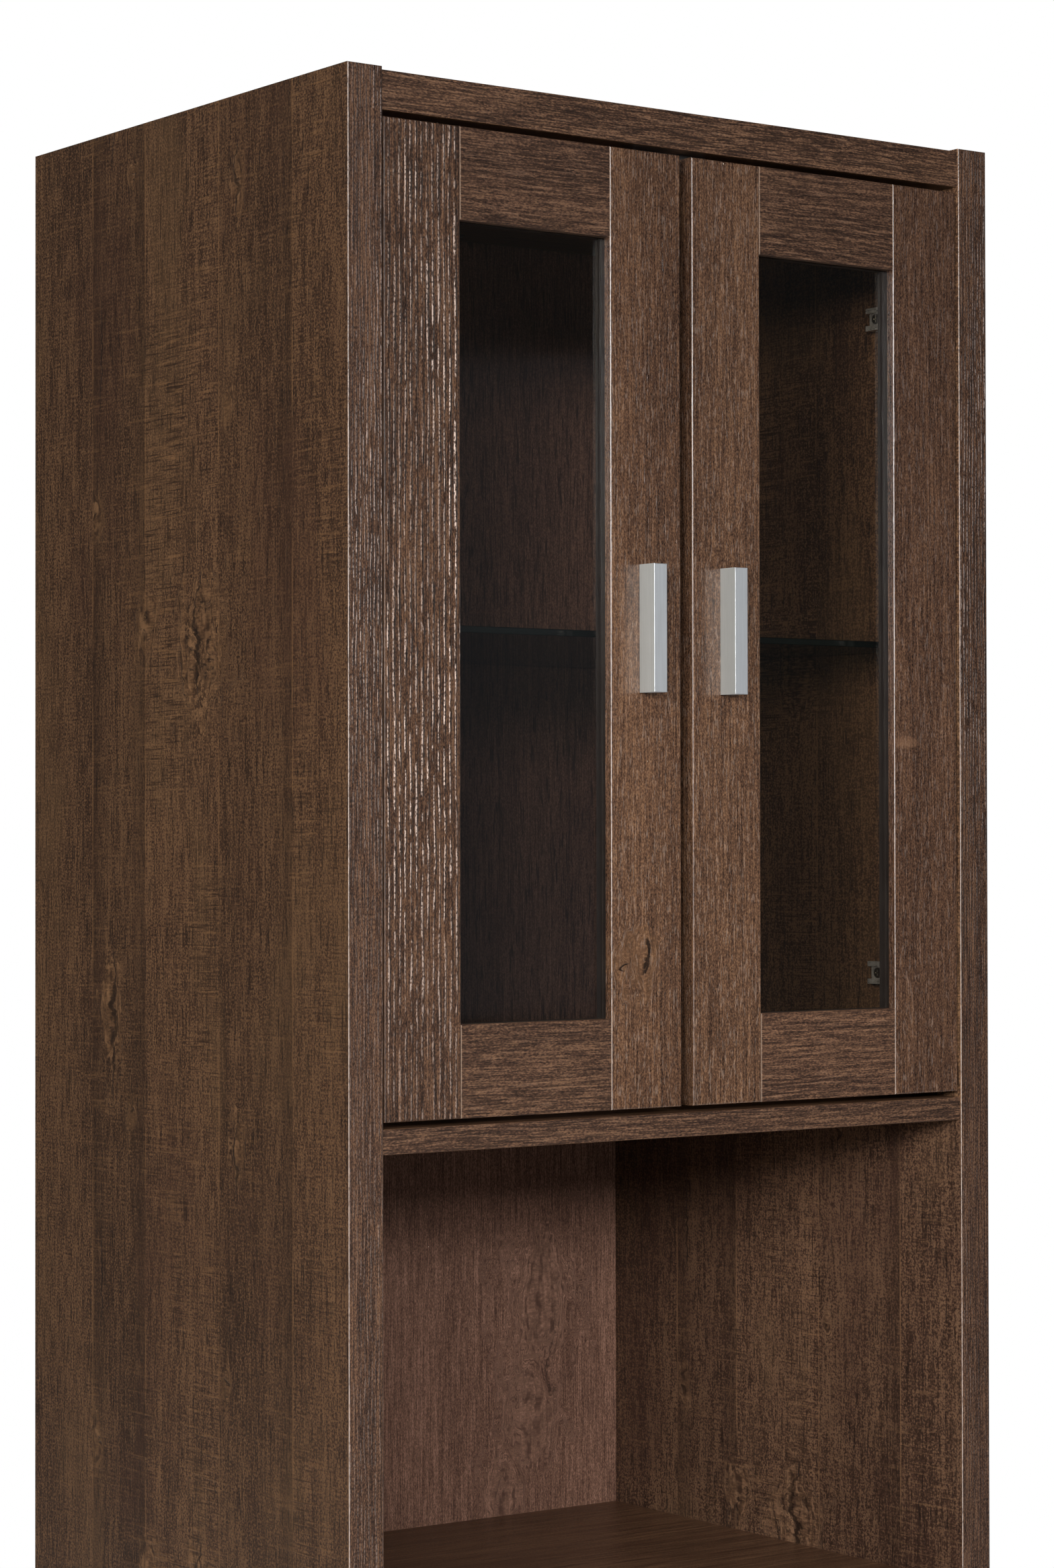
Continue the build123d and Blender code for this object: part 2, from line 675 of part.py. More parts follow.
        # hinge cups, let into the hinge stile, each with a screwed flange
        with BuildPart() as hinge_cups:
            for z in hinge_levels[level]:
                with BuildSketch(Plane.XZ.offset(-(door_back_y + flange_t))):
                    with Locations((cup_x, z)):
                        RectangleRounded(flange_w, flange_l, flange_corner_r)
                        Circle(cup_r + flange_rim)
                extrude(amount=flange_t)
                rod("Y", door_back_y - cup_depth, door_back_y, (cup_x, z), cup_r)
                hollow = (door_back_y - cup_depth + cup_wall, door_back_y + flange_t)
                rod("Y", *hollow, (cup_x, z), cup_r - cup_wall, Mode.SUBTRACT)
                rod("Z", z - pin_length / 2, z + pin_length / 2, pin_at, pin_r, Mode.SUBTRACT)
                flange_ys = (door_back_y, door_back_y + flange_t)
                for dz in (-cup_screw_dz, cup_screw_dz):
                    rod("Y", *flange_ys, (cup_x, z + dz), clearance_r, Mode.SUBTRACT)
        save(hinge_cups.part, f"{prefix}_hinge_cups")

        # hinge pins, each with two sleeves that keep the arm's knuckle in the middle
        with BuildPart() as hinge_pins:
            for z in hinge_levels[level]:
                rod("Z", z - pin_length / 2, z + pin_length / 2, pin_at, pin_r)
                for end in (-1, 1):
                    sleeve_zs = (z + end * (arm_h / 2 + sleeve_play), z + end * sleeve_end)
                    rod("Z", *sleeve_zs, pin_at, pin_r + sleeve_wall)
        save(hinge_pins.part, f"{prefix}_hinge_pins")

        # screws from the back: two for the handle, two for each hinge cup
        with BuildPart() as door_screws:
            for z in handle_screw_zs:
                head_y = door_back_y + handle_head_h
                rod("Y", face_y - handle_screw_depth, door_back_y, (handle_x, z), handle_screw_r)
                rod("Y", door_back_y, head_y, (handle_x, z), handle_head_r)
                cross_y(handle_x, head_y, z, recess_size, -recess_depth)
            for z in hinge_levels[level]:
                seat_y = door_back_y + flange_t
                for dz in (-cup_screw_dz, cup_screw_dz):
                    at = (cup_x, z + dz)
                    rod("Y", door_back_y - cup_screw_depth, seat_y, at, screw_r)
                    rod("Y", seat_y, seat_y + flat_head_h, at, cup_head_r)
                    cross_y(at[0], seat_y + flat_head_h, at[1], recess_size, -recess_depth)
        save(door_screws.part, f"{prefix}_door_screws")
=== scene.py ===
import math

import bpy
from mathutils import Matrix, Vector


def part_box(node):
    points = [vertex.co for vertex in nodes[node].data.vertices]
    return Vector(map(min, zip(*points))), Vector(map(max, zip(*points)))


# A tall china cabinet in dark walnut decor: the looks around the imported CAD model.
# Metres, in the CAD frame: +X to the right seen from the front, +Y to the back, +Z up.

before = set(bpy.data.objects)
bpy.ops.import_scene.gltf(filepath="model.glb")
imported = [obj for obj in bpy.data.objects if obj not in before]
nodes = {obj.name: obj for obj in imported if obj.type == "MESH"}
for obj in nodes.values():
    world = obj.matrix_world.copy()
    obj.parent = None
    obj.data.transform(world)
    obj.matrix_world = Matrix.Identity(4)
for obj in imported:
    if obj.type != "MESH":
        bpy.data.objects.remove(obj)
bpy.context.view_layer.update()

# ---- where things are
stile_low, stile_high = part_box("upper_right_hinge_stile")
rail_low, rail_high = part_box("upper_right_top_rail")
rail_shoulder = 0.008  # hidden behind the stiles at each end
side_low, side_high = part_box("side_panel_left")
display_low, display_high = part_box("display_floor")
half_gap = 0.0055  # from the cabinet's middle to the doors' meeting edges
# where the painted highlight on a door's rounded edges begins and ends, counted from its outline
meeting_edge_reach = (0.002, 0.003)
post_edge_reach = (0.0035, 0.0025)

# ---- the printed decor
print_repeat = 0.712  # the decor paper repeats after this height
print_start = 0.745
plank_edges = (-0.145, -0.045, 0.061, 0.141)  # across the sides, from front to back
full_turn = 2 * math.pi
# a normal's Y, from not yet to fully facing that way
front_facing = (-0.5, -0.8)
film_front = (-0.55, -0.8)  # where the front's film goes a little way round a rounded edge
rear_facing = (0.6, 0.8)


def srgb(red, green, blue):
    """A colour from its 0 to 255 sRGB values, as Blender's linear colour."""

    def linear(value):
        value /= 255
        return value / 12.92 if value <= 0.04045 else ((value + 0.055) / 1.055) ** 2.4

    return (linear(red), linear(green), linear(blue), 1.0)


class Shade:
    """Builds one material's nodes."""

    def __init__(self, name):
        self.material = bpy.data.materials.new(name)
        self.material.use_nodes = True
        self.tree = self.material.node_tree
        self.tree.nodes.clear()
        place = self.node("ShaderNodeTexCoord")
        self.place = place.outputs["Object"]
        self.x, self.y, self.z = self.split(self.place)
        self.nx, self.ny, self.nz = self.split(place.outputs["Normal"])
        self.across, self.depth, self.along = self.x, self.y, self.z

    def node(self, kind, **settings):
        made = self.tree.nodes.new(kind)
        for key, value in settings.items():
            setattr(made, key, value)
        return made

    def feed(self, socket, value):
        if isinstance(value, bpy.types.NodeSocket):
            self.tree.links.new(value, socket)
        else:
            socket.default_value = value

    def split(self, vector):
        made = self.node("ShaderNodeSeparateXYZ")
        self.feed(made.inputs[0], vector)
        return made.outputs[0], made.outputs[1], made.outputs[2]

    def vector(self, x, y, z):
        made = self.node("ShaderNodeCombineXYZ")
        for socket, value in zip(made.inputs, (x, y, z)):
            self.feed(socket, value)
        return made.outputs[0]

    def math(self, operation, *values):
        made = self.node("ShaderNodeMath", operation=operation)
        for socket, value in zip(made.inputs, values):
            self.feed(socket, value)
        return made.outputs[0]

    def times(self, first, second):
        return self.math("MULTIPLY", first, second)

    def plus(self, first, second):
        return self.math("ADD", first, second)

    def times_plus(self, value, factor, offset):
        return self.math("MULTIPLY_ADD", value, factor, offset)

    def absolute(self, value):
        return self.math("ABSOLUTE", value)

    def off(self, value, centre):
        """How far value is from centre."""
        return self.absolute(self.math("SUBTRACT", value, centre))

    def one_minus(self, value):
        return self.times_plus(value, -1.0, 1.0)

    def most(self, values):
        """The largest of several values."""
        largest, *others = values
        for value in others:
            largest = self.math("MAXIMUM", largest, value)
        return largest

    def offsets(self, across, along, across_at, along_at, half_width, half_length):
        """How far a point is from a place, in half widths and half lengths."""
        aside = self.times_plus(across, 1 / half_width, -across_at / half_width)
        ahead = self.times_plus(along, 1 / half_length, -along_at / half_length)
        return aside, ahead

    def step(self, value, low, high, at_low=0.0, at_high=1.0):
        """Goes smoothly from at_low to at_high while value goes from low to high."""
        made = self.node("ShaderNodeMapRange", interpolation_type="SMOOTHSTEP")
        for socket, number in zip(made.inputs, (value, low, high, at_low, at_high)):
            self.feed(socket, number)
        return made.outputs[0]

    def band(self, value, centre, half_width, soft):
        """1 where value is within half_width of centre."""
        return self.step(self.off(value, centre), half_width, half_width + soft, 1.0, 0.0)

    def mix(self, amount, first, second, blend_type="MIX"):
        made = self.node("ShaderNodeMix", data_type="RGBA", blend_type=blend_type)
        self.feed(made.inputs[0], amount)
        self.feed(made.inputs[6], first)
        self.feed(made.inputs[7], second)
        return made.outputs[2]

    def tint(self, colour, red, green, blue):
        """The colour, times one factor for each channel."""
        return self.mix(1.0, colour, (red, green, blue, 1.0), "MULTIPLY")

    def mix_value(self, amount, first, second):
        made = self.node("ShaderNodeMix", data_type="FLOAT")
        self.feed(made.inputs[0], amount)
        self.feed(made.inputs[2], first)
        self.feed(made.inputs[3], second)
        return made.outputs[0]

    def ramp(self, value, stops, interpolation="LINEAR"):
        made = self.node("ShaderNodeValToRGB")
        made.color_ramp.interpolation = interpolation
        elements = made.color_ramp.elements
        while len(elements) < len(stops):
            elements.new(0.5)
        for element, (position, colour) in zip(elements, stops):
            element.position = position
            element.color = colour
        self.feed(made.inputs[0], value)
        return made.outputs[0]

    def noise(self, vector, scale=1.0, detail=2.0, roughness=0.5, distortion=0.0):
        made = self.node("ShaderNodeTexNoise")
        self.feed(made.inputs["Vector"], vector)
        self.feed(made.inputs["Scale"], scale)
        self.feed(made.inputs["Detail"], detail)
        self.feed(made.inputs["Roughness"], roughness)
        self.feed(made.inputs["Distortion"], distortion)
        return made.outputs[0]

    def stretched(self, across, along, shift=0.0):
        """Texture space that is long along the grain: cells per metre across and along it."""
        return self.vector(
            self.times_plus(self.across, across, shift),
            self.times(self.depth, across),
            self.times_plus(self.along, along, shift),
        )

    def grain(self, across, along, detail=2.0, roughness=0.5, distortion=0.0, shift=0.0):
        return self.noise(self.stretched(across, along, shift), 1.0, detail, roughness, distortion)

    def lay_along_x(self):
        """Turns the grain level."""
        self.across, self.along = self.z, self.x

    def wander(self, amount, across=9.0, along=1.6):
        """Lets the grain lines wander sideways."""
        drift = self.times_plus(self.grain(across, along, 2.0), amount, -amount / 2)
        self.across = self.plus(self.across, drift)

    def knots(self, places, along):
        """Bends the grain round knots at (across, along, half width, half length).

        Returns how near the closest knot is, from 0 to 1.
        """
        nears = []
        bent = self.across
        uneven = self.step(self.grain(60, 26, 3.0, 0.6, shift=77), 0.30, 0.70, 0.35, 2.2)
        for place in places:
            aside, ahead = self.offsets(self.across, along, *place)
            squared = self.times_plus(ahead, ahead, self.times(aside, aside))
            squared = self.times(squared, uneven)
            near = self.step(squared, 0.0, 1.0, 1.0, 0.0)
            half_width = place[2]
            pull = self.times(self.times(aside, near), -0.7 * half_width)
            bent = self.plus(bent, pull)
            nears.append(near)
        self.across = bent
        return self.most(nears)

    def cells(self, vector, density):
        """Cells of uneven shape: the distance from each one's middle, and its random values."""
        made = self.node("ShaderNodeTexVoronoi", feature="F1")
        self.feed(made.inputs["Vector"], vector)
        self.feed(made.inputs["Scale"], density)
        return made.outputs["Distance"], self.split(made.outputs["Color"])

    def specks(self, colour):
        """Puts a few tiny pale specks over a colour."""
        distance, randoms = self.cells(self.place, 55.0)
        near = self.step(distance, 0.018, 0.03, 1.0, 0.0)
        few = self.step(randoms[0], 0.965, 0.970)
        return self.mix(self.times(near, few), colour, srgb(196, 180, 164))

    def bump(self, height, distance):
        made = self.node("ShaderNodeBump")
        self.feed(made.inputs["Distance"], distance)
        self.feed(made.inputs["Height"], height)
        return made.outputs[0]

    def surface(self, colour, roughness, normal=None, **sockets):
        """Finishes the material with one Principled shader."""
        made = self.node("ShaderNodeBsdfPrincipled")
        self.feed(made.inputs["Base Color"], colour)
        self.feed(made.inputs["Roughness"], roughness)
        if normal is not None:
            self.feed(made.inputs["Normal"], normal)
        for name, value in sockets.items():
            self.feed(made.inputs[name.replace("_", " ")], value)
        return self.finish(made.outputs[0])

    def blend(self, amount, first, second):
        """Two shaders: second where amount is 1."""
        made = self.node("ShaderNodeMixShader")
        for socket, value in zip(made.inputs, (amount, first, second)):
            self.feed(socket, value)
        return made.outputs[0]

    def simple_shader(self, kind, **sockets):
        made = self.node("ShaderNodeBsdf" + kind)
        for name, value in sockets.items():
            self.feed(made.inputs[name], value)
        return made.outputs[0]

    def finish(self, shader):
        output = self.node("ShaderNodeOutputMaterial")
        self.feed(output.inputs["Surface"], shader)
        return self.material


# ---- looks: each returns a colour, a height and a roughness
walnut_dark = srgb(44, 29, 19)
walnut_middle = srgb(75, 52, 36)
walnut_light = srgb(104, 76, 52)
walnut_gold = srgb(116, 84, 55)
walnut_pale = srgb(132, 98, 68)
ink = srgb(16, 9, 6)
front_dark = srgb(34, 22, 16)
front_middle = srgb(69, 48, 36)
front_light = srgb(106, 78, 58)
warm_light = srgb(128, 92, 68)
painted_sheen_pink = srgb(226, 203, 190)
# the painted highlight's colour on rounded edges
edge_highlight_pale = srgb(206, 190, 180)
face_cells = ((12, 2.4), (200, 7.0), (820, 24), (1050, 560))  # per metre across and along
rail_cells = ((12, 2.4), (220, 9.0), (820, 30), (1050, 420))
side_cells = ((12, 2.4), (120, 7.0), (420, 40), (560, 560))
face_weights = (0.15, 0.22, 0.50, 0.66)  # how much each of the four scales shows
rail_weights = (0.13, 0.16, 0.42, 0.64)
side_weights = (0.22, 0.28, 0.52, 1.05)
plain_weights = (0.13, 0.15, 0.32, 0.54)
back_weights = (0.15, 0.20, 0.40, 0.52)


def fibres(shade, dark, middle, light, shift, weights=face_weights, cells=face_cells):
    """Fibres at four scales, from clouds down to flecks. Returns colour and thread."""
    layers = []
    for number, (across, along) in enumerate(cells):
        layers.append(shade.grain(across, along, 2.0, 0.6, shift=shift + 3 * number))
    tone = 0.5 - 0.5 * sum(weights)
    for layer, weight in zip(layers, weights):
        tone = shade.times_plus(layer, weight, tone)
    colour = shade.ramp(tone, [(0.37, dark), (0.5, middle), (0.63, light)])
    return colour, layers[2]


def swirl(shade, near, spacing, shift):
    """Growth lines that close into rings round knots: from 0 to 1."""
    ragged = shade.grain(70, 30, 3.0, 0.6, shift=shift)
    ragged = shade.times_plus(ragged, 9.0, shade.times(near, 14.0))
    wave = shade.math("SINE", shade.times_plus(shade.across, full_turn / spacing, ragged))
    broken = shade.step(shade.grain(210, 90, 2.0, shift=shift + 2), 0.40, 0.60)
    shown = shade.times(shade.step(near, 0.02, 0.40), broken)
    return shade.times(shade.step(wave, 0.0, 0.95), shown)


def crack(shade, across_at, along_at, half_length, half_width, along, shift):
    """A thin dark split that wanders along the grain and tapers at both ends."""
    sway = shade.noise(shade.vector(shift, shift, shade.times(along, 30)), 1.0, 4.0, 0.65)
    line = shade.times_plus(sway, 0.018, across_at - 0.009)
    end = shade.off(along, along_at)
    width = shade.step(end, 0.0, half_length, half_width, 0.0)
    inside = shade.math("DIVIDE", shade.off(shade.across, line), shade.most((width, 0.00001)))
    window = shade.step(end, half_length * 0.9, half_length, 1.0, 0.0)
    return shade.times(shade.step(inside, 0.5, 1.1, 1.0, 0.0), window)


def eye(shade, across, along, place, side, width):
    """A crescent on one side (1 or -1) of a small dead knot.

    The knot's place is across, along, half width and half length.
    """
    aside, ahead = shade.offsets(across, along, *place)
    lean = shade.times_plus(ahead, -0.30, aside)
    far = shade.math("SQRT", shade.times_plus(ahead, ahead, shade.times(lean, lean)))
    ragged = shade.times_plus(shade.noise(shade.place, 300.0, 3.0, 0.65), 0.7, -0.35)
    ring = shade.band(shade.plus(far, ragged), 0.80, width, width)
    return shade.times(ring, shade.step(shade.times(lean, side), -0.30, 0.30))


def by_board(shade, across, values):
    """One value for each of the boards that lie side by side."""
    reach = side_high.y - side_low.y
    share = shade.times_plus(across, 1 / reach, -side_low.y / reach)
    starts = (side_low.y, *plank_edges)
    stops = []
    for start, value in zip(starts, values):
        stops.append(((start - side_low.y) / reach, (value, value, value, 1.0)))
    return shade.ramp(share, stops, "CONSTANT")


def main_knot_arcs(shade, across, level, middle_level):
    """Open crescents, one outside the other, on one side of the sides' largest knot."""
    arcs = []
    for half_width, half_length in ((0.012, 0.014), (0.021, 0.026), (0.032, 0.040)):
        place = (-0.012 + 0.35 * half_width, middle_level, half_width, half_length)
        arcs.append(eye(shade, across, level, place, -1, 0.05))
    return arcs


def planed_boards(shade, calm):
    """Wide boards side by side, with saw marks across them, knots and short cracks.

    Where calm is 1 the knots and cracks are left out.
    """
    above_start = shade.math("SUBTRACT", shade.along, print_start)
    level = shade.math("FLOORED_MODULO", above_start, print_repeat)
    places = (
        (-0.020, 0.655, 0.050, 0.075),
        (0.056, 0.680, 0.022, 0.036),
        (0.112, 0.385, 0.024, 0.060),
        (0.080, 0.306, 0.011, 0.015),
        (-0.072, 0.284, 0.013, 0.034),
        (-0.056, 0.120, 0.010, 0.018),
        (0.132, 0.050, 0.014, 0.030),
    )
    raw_across = shade.across
    shown = shade.one_minus(calm)
    near = shade.times(shade.knots(places, level), shown)
    shade.wander(0.006, 14, 2.2)
    colour, thread = fibres(
        shade, walnut_dark, walnut_middle, walnut_light, 0.0, side_weights, side_cells
    )
    # each board has its own tone, and some are darker along one edge
    tones = by_board(shade, raw_across, (0.94, 0.84, 1.0, 0.82, 0.90))
    colour = shade.mix(1.0, colour, tones, "MULTIPLY")
    for edge, back in ((plank_edges[0], 1), (plank_edges[2], 1), (plank_edges[3], -1)):
        offset = shade.times(shade.math("SUBTRACT", raw_across, edge), back)
        fading = shade.step(offset, 0.004, 0.026, 1.0, 0.0)
        beside = shade.times(shade.step(offset, -0.0004, 0.0), fading)
        colour = shade.mix(shade.times(beside, 0.42), colour, walnut_dark)
    # yellowish and reddish patches
    patch = shade.grain(9, 3.4, 3.0, 0.6, shift=21)
    colour = shade.mix(shade.step(patch, 0.50, 0.68, 0.0, 0.30), colour, srgb(94, 70, 46))
    colour = shade.mix(shade.step(patch, 0.48, 0.32, 0.0, 0.30), colour, srgb(60, 38, 28))
    # thin lines along the board edges
    line = shade.most([shade.band(raw_across, edge, 0.0003, 0.0007) for edge in plank_edges])
    broken = shade.step(shade.grain(20, 9, 2.0, shift=4), 0.40, 0.60)
    colour = shade.mix(shade.times(shade.times(line, broken), 0.60), colour, walnut_gold)
    # saw marks: fine level lines that come and go, mostly on two of the boards
    rise = shade.times_plus(raw_across, 0.012, shade.z)
    coarse_space = shade.vector(shade.times(raw_across, 19), 0.0, shade.times(rise, 330))
    fine_space = shade.vector(shade.times(raw_across, 28), 5.0, shade.times(rise, 760))
    coarse = shade.noise(coarse_space, 1.0, 2.0, 0.6)
    fine = shade.noise(fine_space, 1.0, 2.0, 0.6)
    sawn = by_board(shade, raw_across, (0.75, 0.22, 1.0, 0.40, 0.22))
    zone_space = shade.vector(shade.times(raw_across, 12), 2.0, shade.times(shade.z, 6.0))
    zone = shade.step(shade.noise(zone_space, 1.0, 2.0), 0.40, 0.60)
    zone = shade.times(zone, shade.split(sawn)[0])
    everywhere = shade.times_plus(zone, 0.80, 0.20)
    bright_saw = shade.times(shade.step(coarse, 0.52, 0.70), everywhere)
    dark_saw = shade.times(shade.step(fine, 0.50, 0.34), everywhere)
    colour = shade.mix(shade.times(bright_saw, 0.55), colour, walnut_gold)
    colour = shade.mix(shade.times(dark_saw, 0.90), colour, walnut_dark)
    # dark threads
    pores = shade.grain(480, 34, 2.0, shift=9)
    pore = shade.step(pores, 0.44, 0.30)
    colour = shade.mix(shade.times(pore, 0.6), colour, ink)
    # knots: growth lines and crescents round a dark heart, and splits through some of them
    rings = swirl(shade, near, 0.0050, 5)
    colour = shade.mix(shade.step(near, 0.1, 0.9, 0.0, 0.22), colour, walnut_gold)
    pale_rings = swirl(shade, near, 0.0062, 25)
    colour = shade.mix(shade.times(pale_rings, 0.42), colour, walnut_pale)
    colour = shade.mix(shade.times(rings, 0.85), colour, walnut_dark)
    other_side = eye(shade, raw_across, level, (-0.026, 0.648, 0.012, 0.020), 1, 0.09)
    dark_arcs = shade.most([*main_knot_arcs(shade, raw_across, level, 0.645), other_side])
    pale_arcs = shade.most(main_knot_arcs(shade, raw_across, level, 0.6385))
    colour = shade.mix(shade.times(shade.times(pale_arcs, shown), 0.40), colour, walnut_pale)
    colour = shade.mix(shade.times(shade.times(dark_arcs, shown), 0.62), colour, walnut_dark)
    heart_noise = shade.grain(170, 70, 3.0, 0.65, 1.2, shift=13)
    heart = shade.times(shade.step(near, 0.70, 0.98), shade.step(heart_noise, 0.55, 0.62))
    marks = [heart]
    for across_at, along_at, half_length, half_width, shift in (
        (-0.018, 0.672, 0.075, 0.0011, 2),
        (0.110, 0.380, 0.075, 0.0016, 6),
        (-0.006, 0.640, 0.030, 0.0014, 17),
        (-0.070, 0.282, 0.040, 0.0010, 9),
        (0.128, 0.180, 0.045, 0.0012, 14),
    ):
        marks.append(crack(shade, across_at, along_at, half_length, half_width, level, shift))
    dark_marks = shade.times(shade.most(marks), shown)
    colour = shade.mix(shade.times(dark_marks, 0.68), colour, ink)
    height = shade.plus(shade.times(thread, 0.45), shade.times(pore, -0.5))
    height = shade.plus(height, shade.times(dark_marks, -0.9))
    height = shade.plus(height, shade.times(bright_saw, 0.35))
    roughness = shade.times_plus(thread, 0.16, 0.42)
    return colour, height, roughness


def line_phase(shade, spacing, sway):
    """Counts up across lines that are spacing apart; its sine is the lines."""
    width = shade.plus(shade.across, shade.times(shade.depth, 0.8))
    return shade.times_plus(width, full_turn / spacing, sway)


def brushed_lines(shade, spacing, strength, shift, sway=11.0):
    """Deep-brushed grain: wandering raised lines, broken into dashes, with a painted pale sheen on
    them.
    """
    shade.wander(0.004, 26, 4.0)
    colour, thread = fibres(shade, front_dark, front_middle, front_light, shift)
    waviness = shade.times(shade.grain(130, 14, 3.0, 0.6, shift=shift + 2), sway)
    phase = line_phase(shade, spacing, waviness)
    ridge = shade.step(shade.math("SINE", phase), 0.48, 0.94)
    dash = shade.step(shade.grain(300, 70, 2.0, 0.6, shift=shift + 5), 0.40, 0.54)
    patch = shade.step(shade.grain(30, 4.0, 2.0, shift=shift + 8), 0.36, 0.60, 0.35, 1.0)
    lit = shade.times(shade.times(ridge, dash), patch)
    # the ridges, their painted sheen and the grooves are strongest at eye height
    depth = shade.step(shade.z, 1.02, 1.40, 0.24, 1.0)
    depth = shade.times(depth, shade.step(shade.z, 1.50, 1.78, 1.0, 0.72))
    lit = shade.times(lit, depth)
    beside = shade.math("SINE", shade.plus(phase, -1.15))
    groove = shade.times(shade.step(beside, 0.55, 0.98), shade.times_plus(dash, 0.6, 0.4))
    groove = shade.times(groove, shade.times_plus(depth, 0.75, 0.25))
    colour = shade.mix(groove, colour, ink)
    grit = shade.step(shade.grain(700, 480, 1.0, shift=shift), 0.38, 0.56, 0.10, 1.0)
    # painted sheen: pale silver-pink on the raised ridges
    colour = shade.mix(shade.times(shade.times(lit, grit), strength), colour, painted_sheen_pink)
    height = shade.plus(shade.times(lit, 0.9), shade.times(groove, -0.5))
    height = shade.times_plus(thread, 0.3, height)
    roughness = shade.times_plus(lit, -0.10, 0.50)
    return colour, height, roughness


def wavy_grain(shade, shift, knot_places=(), eye_places=()):
    """Calm face with fine wavy lines, darker and lighter than the ground."""
    near = shade.knots(knot_places, shade.along) if knot_places else None
    shade.wander(0.004, 24, 4.0)
    colour, thread = fibres(shade, front_dark, front_middle, front_light, shift, plain_weights)
    ripple = shade.times(shade.grain(160, 20, 3.0, 0.65, shift=shift + 2), 7.5)
    wave = shade.math("SINE", line_phase(shade, 0.0037, ripple))
    dash = shade.step(shade.grain(620, 36, 2.0, 0.6, shift=shift + 6), 0.40, 0.54)
    drawn = shade.times(shade.step(wave, 0.0, 0.9), dash)
    lighter = shade.times(shade.step(wave, -0.3, -0.95), dash)
    colour = shade.mix(shade.times(drawn, 0.10), colour, front_dark)
    colour = shade.mix(shade.times(lighter, 0.06), colour, warm_light)
    # fine pale hairs, in the painted sheen's colour
    hairs = shade.step(shade.grain(1000, 130, 1.0, shift=shift + 15), 0.58, 0.70)
    colour = shade.mix(shade.times(hairs, 0.08), colour, painted_sheen_pink)
    height = shade.plus(shade.times(thread, 0.4), shade.times(drawn, -0.6))
    if near is not None:
        colour = shade.mix(shade.step(near, 0.0, 0.5, 0.0, 0.22), colour, srgb(110, 80, 56))
        rings = swirl(shade, near, 0.0034, shift + 4)
        colour = shade.mix(shade.times(rings, 0.45), colour, front_dark)
        heart = shade.most([eye(shade, shade.x, shade.z, *one) for one in eye_places])
        colour = shade.mix(shade.times(heart, 0.85), colour, ink)
        height = shade.plus(height, shade.times(heart, -0.8))
    roughness = shade.times_plus(thread, 0.12, 0.44)
    return colour, height, roughness


def short_dashes(shade, amount, shift):
    """Short dark dashes along the grain, crowded into bands."""
    shade.wander(0.010, 14, 3.0)
    colour, thread = fibres(
        shade, front_dark, front_middle, front_light, shift, rail_weights, rail_cells
    )
    crowd = shade.step(shade.grain(34, 3.5, 2.0, shift=shift + 9), 0.34, 0.60, 0.50, 1.0)
    dashes = shade.grain(820, 42, 2.0, 0.62, 0.2, shift=shift + 4)
    drawn = shade.times(shade.step(dashes, 0.50, 0.60), crowd)
    colour = shade.mix(shade.times(drawn, amount), colour, front_dark)
    glints = shade.times(shade.step(dashes, 0.42, 0.34), crowd)
    colour = shade.mix(shade.times(glints, 0.22), colour, srgb(140, 110, 88))
    height = shade.plus(shade.times(thread, 0.35), shade.times(drawn, -0.7))
    roughness = shade.times_plus(thread, 0.12, 0.44)
    return colour, height, roughness


def raw_chipboard(shade):
    """Pressed wood chips, as on edges that nobody bands."""
    space = shade.vector(shade.x, shade.times(shade.y, 0.7), shade.times(shade.z, 0.5))
    distance, randoms = shade.cells(space, 420.0)
    chips = [(0.1, srgb(104, 80, 56)), (0.5, srgb(158, 128, 92)), (0.9, srgb(188, 160, 120))]
    return shade.ramp(randoms[0], chips), distance, 0.85


def combine(shade, amount, first, second):
    """Two looks on one piece: second where amount is 1."""
    colour = shade.mix(amount, first[0], second[0])
    height = shade.mix_value(amount, first[1], second[1])
    roughness = shade.mix_value(amount, first[2], second[2])
    return colour, height, roughness


def painted_edge_highlight(shade, look, amount, door=False):
    """Painted highlight: paler and smoother along rounded upright edges, most on those that face
    left, towards the key light.

    Less highlight is painted on a door's outer edges in the narrow gaps, which lie in shade.
    """
    colour, height, roughness = look
    turned = shade.band(shade.absolute(shade.ny), 0.70, 0.10, 0.14)
    upright = shade.step(shade.absolute(shade.nz), 0.1, 0.3, 1.0, 0.0)
    chips = shade.step(shade.noise(shade.place, 260.0, 3.0, 0.7), 0.34, 0.52, 0.35, 1.0)
    # painted highlight: strongest on edges that face left, towards the key light
    facing_key_light = shade.step(shade.nx, 0.1, -0.1, 0.20, 1.0)
    highlight_mask = shade.times(shade.times(turned, upright), shade.times(chips, facing_key_light))
    if door:
        outward = shade.absolute(shade.x)
        near_gap = [half_gap + reach for reach in meeting_edge_reach]
        gap_edges = shade.step(outward, *near_gap, 0.25, 1.0)
        near_post = [stile_high.x - reach for reach in post_edge_reach]
        post_edges = shade.step(outward, *near_post, 1.0, 0.15)
        highlight_mask = shade.times(highlight_mask, shade.times(gap_edges, post_edges))
    # painted highlight: a pale colour along the rounded edges
    colour = shade.mix(shade.times(highlight_mask, amount), colour, edge_highlight_pale)
    roughness = shade.mix_value(highlight_mask, roughness, 0.30)
    return colour, height, roughness


def finish_wood(shade, look, distance, gloss=0.22):
    colour, height, roughness = look
    normal = shade.bump(height, distance)
    return shade.surface(shade.specks(colour), roughness, normal, Specular_IOR_Level=gloss)


def tint_where(shade, amount, colour, *factors):
    """Tints the colour where amount is 1."""
    return shade.mix(amount, colour, shade.tint(colour, *factors))


def painted_top_shade(shade, colour, start, end, amount):
    """Painted shade: the fronts get darker towards their upper ends, where less light falls on
    them.
    """
    upper = shade.step(shade.z, start, end)
    return tint_where(shade, upper, colour, amount, amount, amount * 1.03)


def fresh(shade):
    """Forgets the bends of an earlier look on the same material."""
    shade.across, shade.depth, shade.along = shade.x, shade.y, shade.z


